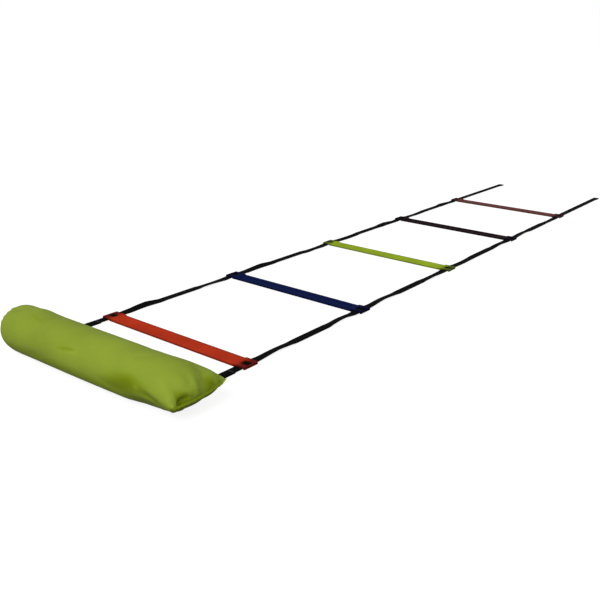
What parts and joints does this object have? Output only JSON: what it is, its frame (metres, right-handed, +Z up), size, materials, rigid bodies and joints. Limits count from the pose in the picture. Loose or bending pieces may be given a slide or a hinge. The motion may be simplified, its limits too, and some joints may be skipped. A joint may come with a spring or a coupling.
{
  "type": "agility ladder",
  "caption": "Flat agility ladder: coloured plastic rungs slid onto two webbing side straps, folding up like a concertina, with a stuffed carry bag lying across its near end.",
  "frame": {"origin": "on the ground, under the middle of the first rung, the one nearest the bag", "axes": "+Y along the ladder, away from the bag; +X to the right across the rungs; +Z up from the ground"},
  "size_m": [0.5006, 2.2669, 0.089],
  "materials": {
    "red": "satin moulded plastic, red",
    "blue": "satin moulded plastic, navy blue",
    "lime": "satin moulded plastic, lime green",
    "plum": "satin moulded plastic, blackish plum",
    "brown": "satin moulded plastic, red brown",
    "webbing": "black woven webbing",
    "thread": "black sewing thread",
    "nylon": "woven nylon, olive green",
    "nylon_trim": "woven nylon, olive green, gathered or seamed"
  },
  "bodies": {
    "section_1": {"strap_left_1": "webbing", "strap_right_1": "webbing", "tack_near_left": "thread", "tack_near_right": "thread"},
    "rung_1": {"rung_1": "red"},
    "section_2": {"strap_left_2": "webbing", "strap_right_2": "webbing"},
    "rung_2": {"rung_2": "blue"},
    "section_3": {"strap_left_3": "webbing", "strap_right_3": "webbing"},
    "rung_3": {"rung_3": "lime"},
    "section_4": {"strap_left_4": "webbing", "strap_right_4": "webbing"},
    "rung_4": {"rung_4": "plum"},
    "section_5": {"strap_left_5": "webbing", "strap_right_5": "webbing", "tack_far_left": "thread", "tack_far_right": "thread"},
    "rung_5": {"rung_5": "brown"},
    "bag": {"bag_body": "nylon", "bag_mouth": "nylon_trim", "bag_end_seam": "nylon_trim"}
  },
  "joints": [
    {"name": "fold_4", "type": "hinge", "parent": "section_5", "child": "section_4", "pos_m": [0, 1.4, 0.00535], "axis": [-1, 0, 0], "range_deg": [0, 179.5]},
    {"name": "fold_3", "type": "hinge", "parent": "section_4", "child": "section_3", "pos_m": [0, 1, -0.00015], "axis": [1, 0, 0], "range_deg": [0, 179.5]},
    {"name": "fold_2", "type": "hinge", "parent": "section_3", "child": "section_2", "pos_m": [0, 0.6, 0.00535], "axis": [-1, 0, 0], "range_deg": [0, 179.5]},
    {"name": "fold_1", "type": "hinge", "parent": "section_2", "child": "section_1", "pos_m": [0, 0.2, -0.00015], "axis": [1, 0, 0], "range_deg": [0, 179.5]},
    {"name": "rung_1_slide", "type": "slide", "parent": "section_1", "child": "rung_1", "axis": [0, 1, 0], "range_m": [-0.021, 0.17]},
    {"name": "rung_2_slide", "type": "slide", "parent": "section_2", "child": "rung_2", "axis": [0, 1, 0], "range_m": [-0.156, 0.184]},
    {"name": "rung_3_slide", "type": "slide", "parent": "section_3", "child": "rung_3", "axis": [0, 1, 0], "range_m": [-0.17, 0.17]},
    {"name": "rung_4_slide", "type": "slide", "parent": "section_4", "child": "rung_4", "axis": [0, 1, 0], "range_m": [-0.172, 0.168]},
    {"name": "rung_5_slide", "type": "slide", "parent": "section_5", "child": "rung_5", "axis": [0, 1, 0], "range_m": [-0.17, 0.351]},
    {"name": "bag_lift", "type": "slide", "parent": "section_5", "child": "bag", "axis": [0, 0, 1], "range_m": [0, 0.3]}
  ],
  "couplings": [
    {"joint": "fold_3", "follows": "fold_4", "ratio": 1},
    {"joint": "fold_2", "follows": "fold_4", "ratio": 1},
    {"joint": "fold_1", "follows": "fold_4", "ratio": 1}
  ]
}
